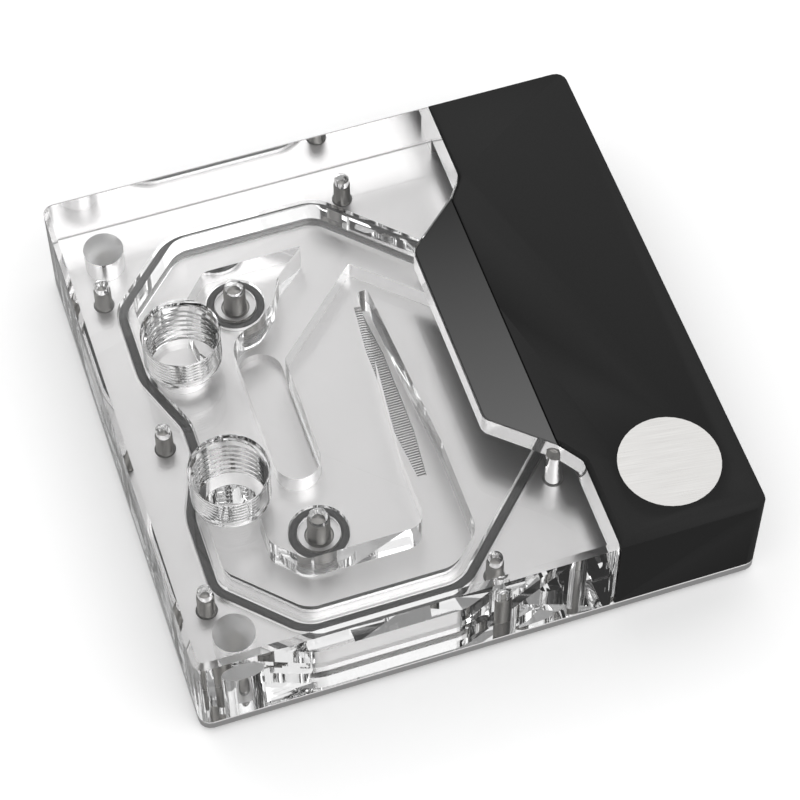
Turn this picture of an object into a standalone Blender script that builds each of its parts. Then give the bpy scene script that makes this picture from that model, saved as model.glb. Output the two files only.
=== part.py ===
"""CPU water block: nickel plated cold plate, clear acrylic top with two threaded
ports and a milled flow chamber, jet insert over the fins, black cover on one side.

Metres, +Z up. The origin is under the middle of the contact pad that touches the
processor. +X runs from the ports towards the cover, +Y to the far edge.
"""
from math import acos, cos, pi, radians, sin, tan

import bmesh
import bpy
from mathutils import Vector

# Outline of the block
BLOCK_X = 0.09485
BLOCK_Y = 0.09422
CORNER_R = 0.0020
CORNER_STEPS = 4

# Heights of the stacked layers
PAD_H = 0.0010
PLATE_T = 0.00218
TOP_H = 0.01841
SEAT_GAP = 0.00005
PLATE_TOP = PAD_H + PLATE_T
BLOCK_TOP = PLATE_TOP + TOP_H
PLATE_EDGE = 0.0003
TOP_CHAMFER = 0.0008

# Layout grid: places in the plan are counted in its steps, 1 mm each at this size
GRID_X = BLOCK_X / 94.85
GRID_Y = BLOCK_Y / 94.22
GRID_R = min(GRID_X, GRID_Y)

# Contact pad under the plate
PAD_X = 37.0 * GRID_X
PAD_Y = 38.0 * GRID_Y
PAD_R = 0.0040

# Fins cut into the plate, in a field with cut corners; plan in grid steps
FIN_H = 0.0008
FIN_PITCH = 0.0005
FIN_GROOVE = 0.00025
FIN_SIDE_X = 11.5
FIN_SIDE_Y = 7.4
FIN_END_X = 0.9
FIN_END_Y = 17.5
FIN_FOOT = 0.00005

# Jet insert, let flush into the plate over the fins; plan in grid steps
INSERT_T = 0.0008
INSERT_CLEAR = 0.00005
INSERT_LEDGE = 0.0012
KITE_SIDE_X = 16.1
KITE_SIDE_Y = 8.4
KITE_TIP_Y = 23.7
JET_X = -0.45
JET_END_Y = 17.1
JET_BROAD_Y = 8.0
JET_W = 0.0032
JET_END_W = 0.0015

# Return slots in the plate on both sides of the insert; plan in grid steps
SLOT_INNER_X = 16.0
SLOT_LEFT_X = -23.9
SLOT_LEFT_Y = 14.9
SLOT_RIGHT_X = 20.3
SLOT_RIGHT_Y = 9.0
SLOT_PASSAGE_X = 13.5
SLOT_PASSAGE_Y = 6.8
SLOT_SILL = 0.0001

# Run of the main seal: corners of its middle line, far half, in grid steps
SEAL_CORD = 0.0015
SEAL_RIGHT_X = 27.5
SEAL_LEFT_X = -39.25
SEAL_END_Y = 40.05
SEAL_DIAGONAL = 38.95
SEAL_BEVEL = 67.6
SEAL_WAIST_X = -34.95
SEAL_WAIST_Y = 2.6
SEAL_SHOULDER_Y = 14.0
SEAL_GROOVE_W = 0.0020
SEAL_GROOVE_H = 0.00160

# Flow channels milled in the underside of the top: x, y and radius in grid steps.
# The far one runs round its island to both return slots.
CHANNEL_H = 0.0062
FAR_CHANNEL = (
    (20.4, -9.0, 2.1), (20.4, 15.8, 1.0), (-1.9, 38.1, 4.5), (-26.7, 38.1, 4.5),
    (-37.3, 27.5, 3.0), (-37.0, 9.2, 4.6), (-27.3, 9.2, 4.1), (-28.9, 19.0, 1.5),
    (-28.9, 24.6, 2.5), (-24.2, 29.8, 2.5), (-6.6, 29.8, 0.15), (-12.3, 24.9, 3.0),
    (-14.6, 20.2, 3.0), (-18.2, 16.9, 2.0), (SLOT_LEFT_X, 15.0, 4.6),
    (SLOT_LEFT_X, -SLOT_LEFT_Y, 3.88), (-KITE_SIDE_X, -SLOT_LEFT_Y, 3.88),
    (-KITE_SIDE_X, KITE_SIDE_Y, 0.3), (0.0, KITE_TIP_Y, 0.3), (KITE_SIDE_X, KITE_SIDE_Y, 0.3),
    (KITE_SIDE_X, -9.0, 2.1),
)
# The near one runs round its island and tapers over the jet.
NEAR_CHANNEL = (
    (3.45, -32.7, 3.0), (3.45, -16.0, 6.0), (1.35, 17.5, 0.5), (-0.5, 17.5, 0.5),
    (-3.8, -16.0, 6.0), (-3.8, -29.5, 3.0), (-24.2, -29.5, 2.5), (-28.9, -24.6, 2.5),
    (-28.9, -19.0, 1.5), (-27.3, -9.2, 4.1), (-37.0, -9.2, 4.6), (-37.3, -27.5, 3.0),
    (-26.7, -38.1, 4.5), (-1.9, -38.1, 4.5),
)

# Ports
PORT_X = -32.15 * GRID_X
PORT_Y = 14.05 * GRID_Y
PORT_THREAD_D = 0.01280
PORT_THREAD_L = 0.0114
PORT_RIM_D = 0.01335
PORT_RIM_H = 0.0006
PORT_CONE_H = 0.0010
PORT_BORE_D = 0.00968

# Inner screws with their seals
PILLAR_X = -20.35 * GRID_X
PILLAR_Y = 23.7 * GRID_Y
PILLAR_SCREW_D = 0.0039
PILLAR_SCREW_END = 0.0083
PILLAR_SEAL_D = 0.0100
PILLAR_SEAL_CORD = 0.00135
PILLAR_HEAD_D = 0.0076

# Edge screws: name, place and the height of the end above the plate
SCREW_D = 0.0030
SCREW_HEAD_D = 0.0056
SCREW_END = 0.0075
COVER_SCREW_ROOF = 0.00141
SCREW_LEFT_X = -41.5 * GRID_X
SCREW_LEFT_Y = 31.2 * GRID_Y
SCREW_WAIST_X = -39.5 * GRID_X
SCREW_MID_X = 4.0 * GRID_X
SCREW_MID_Y = 39.9 * GRID_Y
SCREW_STEP_X = 19.3 * GRID_X
SCREW_STEP_Y = 25.5 * GRID_Y
SCREW_COVER_X = 41.5 * GRID_X
SCREW_COVER_Y = 31.2 * GRID_Y
SCREW_CLEAR = 0.0003
SCREW_HOLE_H = 0.0106
SCREW_TIP = 0.0004
HEAD_SINK = 0.0002
HEX_SHARE = 0.42
HEX_DEPTH = 0.0010

# Corner studs for the mounting
STUD_X = 39.1 * GRID_X
STUD_Y = 39.1 * GRID_Y
STUD_D = 0.0039
STUD_END = 0.0051
STUD_COLLAR_D = 0.0060
STUD_COLLAR_T = 0.0010
STUD_POCKET_D = 0.0069
STUD_POCKET_H = 0.00787

# Cover on the right of the top
COVER_X = 22.35 * GRID_X
COVER_FLOOR = 0.00707
COVER_CLEAR = 0.0003
COVER_SKIRT = 0.0024
COVER_CHAMFER = 0.0008
STEP_X = 19.5 * GRID_X
STEP_Y = 26.4 * GRID_Y
STEP_TOP_Y = 30.5 * GRID_Y
TONGUE_X = 9.8 * GRID_X
TONGUE_Y = 17.8 * GRID_Y
COVER_R = 0.0020

# Plate let into the cover's tongue
TONGUE_SEAM_X = 19.4 * GRID_X
TONGUE_T = 0.0020
TONGUE_CLEAR = 0.0001

# Disc let into the cover
BADGE_X = 35.2 * GRID_X
BADGE_Y = -34.8 * GRID_Y
BADGE_D = 0.0168
BADGE_T = 0.0015
BADGE_CLEAR = 0.0001
BADGE_SUNK = 0.0001

# Facets
ROUND_SIDES = 24
PORT_SIDES = 40
CUT_MARGIN = 0.0010
SMOOTH_ANGLE = radians(35)
MERGE = 0.000002


def clear_scene():
    """Remove every object, so that the model starts empty."""
    for item in list(bpy.data.objects):
        bpy.data.objects.remove(item, do_unlink=True)


def new_collection(name):
    """Return a new collection in the scene."""
    group = bpy.data.collections.new(name)
    bpy.context.scene.collection.children.link(group)
    return group


def material(name, colour, roughness, metallic, transmission=0.0, ior=1.5):
    """Return a Principled material."""
    finish = bpy.data.materials.new(name)
    finish.use_nodes = True
    shader = finish.node_tree.nodes["Principled BSDF"]
    shader.inputs["Base Color"].default_value = (*colour, 1.0)
    shader.inputs["Roughness"].default_value = roughness
    shader.inputs["Metallic"].default_value = metallic
    shader.inputs["Transmission Weight"].default_value = transmission
    shader.inputs["IOR"].default_value = ior
    return finish


def add_object(name, mesh, group, finish=None, at=(0.0, 0.0, 0.0)):
    """Put a mesh into a collection as an object."""
    item = bpy.data.objects.new(name, mesh)
    item.location = at
    group.objects.link(item)
    if finish is not None:
        mesh.materials.clear()
        mesh.materials.append(finish)
    return item


def mark_cutter(item):
    """Show a cutting solid as a wire, outside the render."""
    item.hide_render = True
    item.display_type = 'WIRE'
    return item


def smooth(item):
    """Shade a round piece smooth, with its sharp edges kept."""
    item.data.shade_smooth()
    item.data.set_sharp_from_angle(angle=SMOOTH_ANGLE)
    return item


def cut(item, cutter, operation='DIFFERENCE'):
    """Boolean one solid with another, kept as a live modifier."""
    step = item.modifiers.new(operation.title() + "_" + cutter.name, 'BOOLEAN')
    step.operation = operation
    step.solver = 'EXACT'
    step.object = cutter
    return item


def rounded(corners, steps=CORNER_STEPS):
    """Return the points of a closed outline whose corners (x, y, radius) are arcs."""
    points = []
    count = len(corners)
    for index, (x, y, radius) in enumerate(corners):
        here = Vector((x, y))
        back = (Vector(corners[index - 1][:2]) - here).normalized()
        ahead = (Vector(corners[(index + 1) % count][:2]) - here).normalized()
        half = acos(max(-1.0, min(1.0, back.dot(ahead)))) / 2
        if radius <= 0.0 or half > pi / 2 - 0.01:
            points.append(here)
            continue
        reach = radius / tan(half)
        middle = here + (back + ahead).normalized() * radius / sin(half)
        start = here + back * reach - middle
        turn = pi - 2 * half
        side = 1.0 if back.cross(ahead) < 0 else -1.0
        for step in range(steps + 1):
            angle = side * turn * step / steps
            points.append(middle + Vector((start.x * cos(angle) - start.y * sin(angle),
                                           start.x * sin(angle) + start.y * cos(angle))))
    return [(point.x, point.y) for point in points]


def offset(corners, distance):
    """Move a counter-clockwise outline of (x, y, radius) corners out by a distance."""
    moved = []
    count = len(corners)
    for index, (x, y, radius) in enumerate(corners):
        here = Vector((x, y))
        before = (here - Vector(corners[index - 1][:2])).normalized()
        after = (Vector(corners[(index + 1) % count][:2]) - here).normalized()
        normal_a = Vector((before.y, -before.x))
        normal_b = Vector((after.y, -after.x))
        mitre = (normal_a + normal_b) / (1.0 + normal_a.dot(normal_b))
        place = here + mitre * distance
        convex = before.cross(after) > 0
        new_radius = max(radius + (distance if convex else -distance), 0.0002)
        moved.append((place.x, place.y, new_radius))
    return moved


def box_corners(width, depth, radius, centre=(0.0, 0.0)):
    """Return the four corners of a rectangle, counter-clockwise."""
    x, y = centre
    half_x = width / 2
    half_y = depth / 2
    signs = ((1, -1), (1, 1), (-1, 1), (-1, -1))
    return [(x + sx * half_x, y + sy * half_y, radius) for sx, sy in signs]


def box_points(width, depth, centre=(0.0, 0.0)):
    """Return the corners of a rectangle as plain points."""
    return [(x, y) for x, y, radius in box_corners(width, depth, 0.0, centre)]


def circle_points(radius, centre=(0.0, 0.0), sides=ROUND_SIDES):
    """Return the points of a circle, counter-clockwise."""
    x, y = centre
    return [(x + radius * cos(2 * pi * step / sides), y + radius * sin(2 * pi * step / sides))
            for step in range(sides)]


def prism(name, outlines, bottom, top, group, finish=None):
    """Extrude flat outlines between two heights. Inner outlines are holes."""
    curve = bpy.data.curves.new(name + "_outline", 'CURVE')
    curve.dimensions = '2D'
    curve.fill_mode = 'BOTH'
    curve.extrude = (top - bottom) / 2
    for points in outlines:
        spline = curve.splines.new('POLY')
        spline.points.add(len(points) - 1)
        for point, (x, y) in zip(spline.points, points):
            point.co = (x, y, 0.0, 1.0)
        spline.use_cyclic_u = True
    guide = add_object(name + "_guide", curve, group, at=(0.0, 0.0, (top + bottom) / 2))
    bpy.context.view_layer.update()
    graph = bpy.context.evaluated_depsgraph_get()
    mesh = bpy.data.meshes.new_from_object(guide.evaluated_get(graph))
    place = guide.matrix_world.copy()
    bpy.data.objects.remove(guide, do_unlink=True)
    form = bmesh.new()
    form.from_mesh(mesh)
    bmesh.ops.remove_doubles(form, verts=form.verts, dist=MERGE)
    bmesh.ops.recalc_face_normals(form, faces=form.faces)
    form.to_mesh(mesh)
    form.free()
    mesh.name = name
    item = add_object(name, mesh, group, finish)
    item.matrix_world = place
    return item


def bevel_level_edges(item, width, height, segments=1):
    """Chamfer the edges that lie level at one height of a solid."""
    form = bmesh.new()
    form.from_mesh(item.data)
    level = height - item.location.z
    edges = [edge for edge in form.edges
             if all(abs(vert.co.z - level) < MERGE for vert in edge.verts)
             and edge.calc_face_angle(0.0) > SMOOTH_ANGLE]
    bmesh.ops.bevel(form, geom=edges, offset=width, segments=segments, profile=0.5,
                    affect='EDGES')
    form.to_mesh(item.data)
    form.free()
    return item


def turned(name, profile, group, finish=None, at=(0.0, 0.0, 0.0), sides=ROUND_SIDES):
    """Turn a profile of (radius, height) points, listed from top to bottom."""
    form = bmesh.new()
    verts = [form.verts.new((radius, 0.0, height)) for radius, height in profile]
    for first, second in zip(verts, verts[1:]):
        form.edges.new((first, second))
    mesh = bpy.data.meshes.new(name)
    form.to_mesh(mesh)
    form.free()
    item = add_object(name, mesh, group, finish, at)
    screw = item.modifiers.new("Turn", 'SCREW')
    screw.axis = 'Z'
    screw.steps = sides
    screw.render_steps = sides
    screw.use_merge_vertices = True
    screw.merge_threshold = MERGE
    screw.use_smooth_shade = True
    return item


def ring(name, points, radius, height, group, finish, sides=2):
    """Make a closed round cord along flat points."""
    curve = bpy.data.curves.new(name, 'CURVE')
    curve.dimensions = '3D'
    curve.bevel_depth = radius
    curve.bevel_resolution = sides
    spline = curve.splines.new('POLY')
    spline.points.add(len(points) - 1)
    for point, (x, y) in zip(spline.points, points):
        point.co = (x, y, height, 1.0)
    spline.use_cyclic_u = True
    item = bpy.data.objects.new(name, curve)
    curve.materials.append(finish)
    group.objects.link(item)
    return item


def plan(corners):
    """Turn corners in grid steps into metres."""
    return [(x * GRID_X, y * GRID_Y, radius * GRID_R) for x, y, radius in corners]


def mirrored(far):
    """Return an outline from its far half, listed from right to left."""
    return list(far) + [(x, -y, radius) for x, y, radius in reversed(far)]


def seal_corners():
    """Return the corners of the main seal's middle line, counter-clockwise."""
    far = [
        (SEAL_RIGHT_X, SEAL_DIAGONAL - SEAL_RIGHT_X, 4.0),
        (SEAL_DIAGONAL - SEAL_END_Y, SEAL_END_Y, 6.0),
        (SEAL_END_Y - SEAL_BEVEL, SEAL_END_Y, 6.0),
        (SEAL_LEFT_X, SEAL_LEFT_X + SEAL_BEVEL, 4.0),
        (SEAL_LEFT_X, SEAL_SHOULDER_Y, 8.0),
        (SEAL_WAIST_X, SEAL_WAIST_Y, 5.0),
    ]
    return plan(mirrored(far))


def kite_corners():
    """Return the outline of the jet insert's seat, counter-clockwise."""
    return plan(mirrored([(KITE_SIDE_X, KITE_SIDE_Y, 0.0), (0.0, KITE_TIP_Y, 0.0),
                          (-KITE_SIDE_X, KITE_SIDE_Y, 0.0)]))


def fin_field_corners():
    """Return the outline of the fin field, counter-clockwise."""
    return plan(mirrored([(FIN_SIDE_X, FIN_SIDE_Y, 0.0), (FIN_END_X, FIN_END_Y, 0.0),
                          (-FIN_END_X, FIN_END_Y, 0.0), (-FIN_SIDE_X, FIN_SIDE_Y, 0.0)]))


def slot_corners(inner_x, outer_x, end_y):
    """Return the outline of a return slot with round ends, in metres."""
    low = min(inner_x, outer_x)
    high = max(inner_x, outer_x)
    radius = (high - low) / 2 * 0.995
    return plan([(high, -end_y, radius), (high, end_y, radius), (low, end_y, radius),
                 (low, -end_y, radius)])


def jet_points():
    """Return the outline of the jet: broad in the middle, narrow at both ends."""
    middle = JET_X * GRID_X
    right = [(middle + JET_END_W / 2, -JET_END_Y * GRID_Y), (middle + JET_W / 2, -JET_BROAD_Y * GRID_Y),
             (middle + JET_W / 2, JET_BROAD_Y * GRID_Y), (middle + JET_END_W / 2, JET_END_Y * GRID_Y)]
    left = [(2 * middle - x, y) for x, y in reversed(right)]
    return right + left


def cover_corners(clearance=0.0):
    """Return the outline of the cover, or of its pocket with a clearance."""
    right = BLOCK_X / 2
    far = [
        (COVER_X, STEP_TOP_Y, COVER_R),
        (STEP_X, STEP_Y, COVER_R),
        (TONGUE_X, TONGUE_Y, COVER_R),
    ]
    left_side = far + [(x, -y, radius) for x, y, radius in reversed(far)]
    corners = [
        (right, -BLOCK_Y / 2, CORNER_R),
        (right, BLOCK_Y / 2, CORNER_R),
        (COVER_X, BLOCK_Y / 2, 0.0),
    ] + left_side + [(COVER_X, -BLOCK_Y / 2, 0.0)]
    return offset(corners, clearance) if clearance else corners


def tongue_corners():
    """Return the outline of the plate in the cover's tongue, counter-clockwise."""
    share = (TONGUE_SEAM_X - TONGUE_X) / (STEP_X - TONGUE_X)
    seam_y = TONGUE_Y + share * (STEP_Y - TONGUE_Y)
    far = [
        (TONGUE_SEAM_X, seam_y, 0.0),
        (TONGUE_X, TONGUE_Y, COVER_R),
    ]
    return far + [(x, -y, radius) for x, y, radius in reversed(far)]


def screw_places():
    """Return every edge screw: its name, place and the height of its end."""
    places = []
    cover_end = TOP_H - max(TONGUE_T, BADGE_T) - COVER_SCREW_ROOF
    for side, word in ((1, "far"), (-1, "near")):
        places.append(("top_screw_left_" + word, (SCREW_LEFT_X, side * SCREW_LEFT_Y), SCREW_END))
        places.append(("top_screw_mid_" + word, (SCREW_MID_X, side * SCREW_MID_Y), SCREW_END))
        places.append(("cover_screw_step_" + word, (SCREW_STEP_X, side * SCREW_STEP_Y), cover_end))
        places.append(("cover_screw_right_" + word, (SCREW_COVER_X, side * SCREW_COVER_Y),
                       cover_end))
    places.append(("top_screw_waist", (SCREW_WAIST_X, 0.0), SCREW_END))
    places.append(("cover_screw_right_mid", (SCREW_COVER_X, 0.0), cover_end))
    return places


def stud_places():
    """Return the place of each mounting stud, with its name."""
    return [("mount_stud_" + x_word + "_" + y_word, (x * STUD_X, y * STUD_Y))
            for x, x_word in ((-1, "left"), (1, "right"))
            for y, y_word in ((1, "far"), (-1, "near"))]


def pillar_places():
    """Return the place of each inner screw, with its side's name."""
    return [("far", (PILLAR_X, PILLAR_Y)), ("near", (PILLAR_X, -PILLAR_Y))]


def screw_profile(diameter, head_diameter, end, margin=0.0):
    """Profile of a countersunk screw from its end down to its head's face.

    With a margin it is the hole that the screw passes through.
    """
    radius = diameter / 2 + margin
    head = head_diameter / 2 + margin
    face = PAD_H - margin if margin else PAD_H + HEAD_SINK
    cone = head - radius
    rim = HEAD_SINK + (margin if margin else 0.0)
    if margin:
        return [(0.0, end), (radius, end), (radius, PAD_H + rim + cone), (head, PAD_H + rim),
                (head, face), (0.0, face)]
    return [(0.0, end), (radius - SCREW_TIP, end), (radius, end - SCREW_TIP),
            (radius, face + HEAD_SINK + cone), (head, face + HEAD_SINK), (head, face), (0.0, face)]


def make_screw(name, place, diameter, head_diameter, end, parts, cutters, finish):
    """Make one countersunk screw that enters from below, with its hexagon socket."""
    profile = screw_profile(diameter, head_diameter, end)
    item = turned(name, profile, parts, finish, at=(*place, 0.0))
    socket = circle_points(head_diameter / 2 * HEX_SHARE, place, 6)
    key = prism(name + "_socket", [socket], PAD_H - CUT_MARGIN,
                PAD_H + HEAD_SINK + HEX_DEPTH, cutters)
    cut(item, mark_cutter(key))
    return item


def make_base_plate(parts, cutters, finish):
    """Make the cold plate: pad below, fins above, holes for screws and studs."""
    plate = prism("base_plate", [rounded(box_corners(BLOCK_X, BLOCK_Y, CORNER_R))],
                  PAD_H, PLATE_TOP, parts, finish)
    bevel_level_edges(plate, PLATE_EDGE, PLATE_TOP)
    bevel_level_edges(plate, PLATE_EDGE, PAD_H)
    smooth(plate)
    pad = prism("contact_pad", [rounded(box_corners(PAD_X, PAD_Y, PAD_R))],
                0.0, PAD_H + PLATE_T / 2, cutters)
    cut(plate, mark_cutter(pad), 'UNION')
    cut_flow_space(plate, cutters)
    for name, place, end in screw_places():
        profile = screw_profile(SCREW_D, SCREW_HEAD_D, PLATE_TOP + CUT_MARGIN, SCREW_CLEAR)
        hole = turned("hole_" + name, profile, cutters, at=(*place, 0.0))
        cut(plate, mark_cutter(hole))
    for name, place in pillar_places():
        profile = screw_profile(PILLAR_SCREW_D, PILLAR_HEAD_D, PLATE_TOP + CUT_MARGIN, SCREW_CLEAR)
        hole = turned("hole_pillar_" + name, profile, cutters, at=(*place, 0.0))
        cut(plate, mark_cutter(hole))
    for name, place in stud_places():
        hole = turned("hole_" + name, stud_hole_profile(), cutters, at=(*place, 0.0))
        cut(plate, mark_cutter(hole))
    return plate


def cut_flow_space(plate, cutters):
    """Cut the insert's seat, the space round the fins, their grooves and the return slots."""
    above = PLATE_TOP + CUT_MARGIN
    ledge = PLATE_TOP - INSERT_T
    floor = ledge - FIN_H
    seat = prism("insert_seat", [rounded(kite_corners())], ledge, above, cutters)
    cut(plate, mark_cutter(seat))
    space_line = rounded(offset(kite_corners(), -INSERT_LEDGE))
    space = prism("fin_space", [space_line, rounded(fin_field_corners())],
                  floor, ledge + CUT_MARGIN / 4, cutters)
    cut(plate, mark_cutter(space))
    cut(plate, mark_cutter(make_fin_grooves(floor + FIN_FOOT, cutters)))
    for side, outer_x, end_y in (("left", SLOT_LEFT_X, SLOT_LEFT_Y),
                                 ("right", SLOT_RIGHT_X, SLOT_RIGHT_Y)):
        inner_x = SLOT_INNER_X if outer_x > 0 else -SLOT_INNER_X
        line = rounded(slot_corners(inner_x, outer_x, end_y), steps=8)
        cut(plate, mark_cutter(prism("slot_" + side, [line], floor, above, cutters)))
        start = (SLOT_PASSAGE_X if outer_x > 0 else -SLOT_PASSAGE_X) * GRID_X
        reach = (inner_x + outer_x) / 2 * GRID_X
        passage = prism("passage_" + side,
                        [box_points(abs(reach - start), 2 * SLOT_PASSAGE_Y * GRID_Y,
                                    ((start + reach) / 2, 0.0))],
                        floor + SLOT_SILL, ledge + CUT_MARGIN / 5, cutters)
        cut(plate, mark_cutter(passage))


def make_fin_grooves(floor, cutters):
    """Return one cutter with a box for every groove between the fins."""
    field_y = 2 * FIN_END_Y * GRID_Y
    grooves = round(field_y / FIN_PITCH)
    form = bmesh.new()
    height = FIN_H + CUT_MARGIN / 3
    for index in range(grooves):
        y = (index - (grooves - 1) / 2) * FIN_PITCH
        away = max(0.0, abs(y) / GRID_Y + FIN_PITCH / GRID_Y - FIN_SIDE_Y)
        share = away / (FIN_END_Y - FIN_SIDE_Y)
        half = (FIN_SIDE_X - share * (FIN_SIDE_X - FIN_END_X)) * GRID_X + CUT_MARGIN
        made = bmesh.ops.create_cube(form, size=1.0)
        verts = made["verts"]
        bmesh.ops.scale(form, vec=(2 * half, FIN_GROOVE, height), verts=verts)
        bmesh.ops.translate(form, vec=(0.0, y, floor + height / 2), verts=verts)
    mesh = bpy.data.meshes.new("fin_grooves")
    form.to_mesh(mesh)
    form.free()
    return add_object("fin_grooves", mesh, cutters)


def stud_profile():
    """Profile of a mounting stud with the collar that sits in the plate."""
    radius = STUD_D / 2
    collar = STUD_COLLAR_D / 2
    end = PLATE_TOP + STUD_END
    foot = PAD_H + HEAD_SINK
    return [(0.0, end), (radius - SCREW_TIP, end), (radius, end - SCREW_TIP),
            (radius, foot + STUD_COLLAR_T), (collar, foot + STUD_COLLAR_T), (collar, foot),
            (0.0, foot)]


def stud_hole_profile():
    """Profile of the stepped hole that a mounting stud sits in."""
    radius = STUD_D / 2 + SCREW_CLEAR
    collar = STUD_COLLAR_D / 2 + SCREW_CLEAR
    step = PAD_H + HEAD_SINK + STUD_COLLAR_T + SEAT_GAP
    return [(0.0, PLATE_TOP + CUT_MARGIN), (radius, PLATE_TOP + CUT_MARGIN), (radius, step),
            (collar, step), (collar, PAD_H - CUT_MARGIN), (0.0, PAD_H - CUT_MARGIN)]


def make_studs(parts, finish):
    """Make the four mounting studs."""
    for name, place in stud_places():
        turned(name, stud_profile(), parts, finish, at=(*place, 0.0))


def make_screws(parts, cutters, finish):
    """Make every edge screw and the two inner screws."""
    for name, place, end in screw_places():
        make_screw(name, place, SCREW_D, SCREW_HEAD_D, PLATE_TOP + end, parts, cutters, finish)
    for name, place in pillar_places():
        make_screw("pillar_screw_" + name, place, PILLAR_SCREW_D, PILLAR_HEAD_D,
                   PLATE_TOP + PILLAR_SCREW_END, parts, cutters, finish)


def make_seals(parts, finish):
    """Make the main seal and the two small seals round the inner screws."""
    height = PLATE_TOP + SEAT_GAP + SEAL_CORD / 2
    ring("main_seal", rounded(seal_corners()), SEAL_CORD / 2, height, parts, finish)
    for name, place in pillar_places():
        radius = (PILLAR_SEAL_D - PILLAR_SEAL_CORD) / 2
        ring("pillar_seal_" + name, circle_points(radius, place), PILLAR_SEAL_CORD / 2,
             PLATE_TOP + SEAT_GAP + PILLAR_SEAL_CORD / 2, parts, finish)


def make_top_block(parts, cutters, finish):
    """Make the clear top: ports, chamber, seal grooves, pockets and screw holes."""
    bottom = PLATE_TOP + SEAT_GAP
    top = prism("top_block", [rounded(box_corners(BLOCK_X, BLOCK_Y, CORNER_R))],
                bottom, BLOCK_TOP, parts, finish)
    bevel_level_edges(top, TOP_CHAMFER, BLOCK_TOP)
    smooth(top)
    below = PLATE_TOP - CUT_MARGIN
    pocket = prism("cover_pocket", [rounded(cover_pocket_corners())],
                   PLATE_TOP + COVER_FLOOR, BLOCK_TOP + CUT_MARGIN, cutters)
    cut(top, mark_cutter(pocket))
    skirt = prism("skirt_space", [rounded(skirt_corners(COVER_CLEAR, CUT_MARGIN))],
                  below, BLOCK_TOP, cutters)
    cut(top, mark_cutter(skirt))
    for side, corners in (("far", FAR_CHANNEL), ("near", NEAR_CHANNEL)):
        channel = prism("channel_" + side, [rounded(plan(corners))], below,
                        PLATE_TOP + CHANNEL_H, cutters)
        cut(top, mark_cutter(channel))
    groove = prism("seal_groove",
                   [rounded(offset(seal_corners(), SEAL_GROOVE_W / 2)),
                    rounded(offset(seal_corners(), -SEAL_GROOVE_W / 2))],
                   below, PLATE_TOP + SEAL_GROOVE_H, cutters)
    cut(top, mark_cutter(groove))
    cut_round_holes(top, cutters)
    return top


def cover_pocket_corners():
    """Return the pocket for the cover, run out past the block's right side."""
    pocket = []
    for x, y, radius in cover_corners():
        out_x = x + 2 * CUT_MARGIN if x > COVER_X + CORNER_R else x - COVER_CLEAR
        out_y = y + (2 * CUT_MARGIN if y > 0 else -2 * CUT_MARGIN) if abs(y) > BLOCK_Y / 2 - MERGE else y
        pocket.append((out_x, out_y, radius))
    return pocket


def skirt_corners(clearance, margin=0.0):
    """Return the outline of the cover's skirt: a bracket round the right side."""
    right = BLOCK_X / 2 + margin
    edge = BLOCK_Y / 2 + margin
    inner_x = BLOCK_X / 2 - COVER_SKIRT - clearance
    inner_y = BLOCK_Y / 2 - COVER_SKIRT - clearance
    left = COVER_X - clearance
    outer_r = CORNER_R if margin == 0.0 else 0.0
    return [(right, -edge, outer_r), (right, edge, outer_r), (left, edge, 0.0),
            (left, inner_y, 0.0), (inner_x, inner_y, CORNER_R), (inner_x, -inner_y, CORNER_R),
            (left, -inner_y, 0.0), (left, -edge, 0.0)]


def cut_round_holes(top, cutters):
    """Cut the ports, the screw holes, the small seal grooves and the stud pockets."""
    below = PLATE_TOP - CUT_MARGIN
    for side in (1, -1):
        radius = PORT_THREAD_D / 2
        rim = PORT_RIM_D / 2
        bore = PORT_BORE_D / 2
        thread_end = BLOCK_TOP - PORT_THREAD_L
        profile = [(0.0, BLOCK_TOP + CUT_MARGIN), (rim, BLOCK_TOP + CUT_MARGIN), (rim, BLOCK_TOP),
                   (radius, BLOCK_TOP - PORT_RIM_H), (radius, thread_end),
                   (bore, thread_end - PORT_CONE_H), (bore, below), (0.0, below)]
        port = turned("port_bore", profile, cutters, at=(PORT_X, side * PORT_Y, 0.0),
                      sides=PORT_SIDES)
        cut(top, mark_cutter(port))
    for name, place, end in screw_places():
        reach = PLATE_TOP + max(SCREW_HOLE_H, end + SCREW_TIP)
        bore = prism("bore_" + name, [circle_points(SCREW_D / 2 + SCREW_CLEAR, place)],
                     below, reach, cutters)
        cut(top, mark_cutter(bore))
    for name, place in pillar_places():
        bore = prism("bore_pillar_" + name,
                     [circle_points(PILLAR_SCREW_D / 2 + SCREW_CLEAR, place)],
                     below, PLATE_TOP + SCREW_HOLE_H, cutters)
        cut(top, mark_cutter(bore))
        groove = prism("groove_pillar_" + name,
                       [circle_points(PILLAR_SEAL_D / 2 + SCREW_CLEAR, place),
                        circle_points(PILLAR_SEAL_D / 2 - PILLAR_SEAL_CORD - SCREW_CLEAR, place)],
                       below, PLATE_TOP + PILLAR_SEAL_CORD + 2 * SEAT_GAP, cutters)
        cut(top, mark_cutter(groove))
    for name, place in stud_places():
        pocket = prism("pocket_" + name, [circle_points(STUD_POCKET_D / 2, place)],
                       below, PLATE_TOP + STUD_POCKET_H, cutters)
        cut(top, mark_cutter(pocket))


def make_jet_insert(parts, finish):
    """Make the insert over the fins, with the slot that feeds them."""
    outline = rounded(offset(kite_corners(), -INSERT_CLEAR))
    return prism("jet_insert", [outline, jet_points()], PLATE_TOP - INSERT_T, PLATE_TOP,
                 parts, finish)


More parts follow.
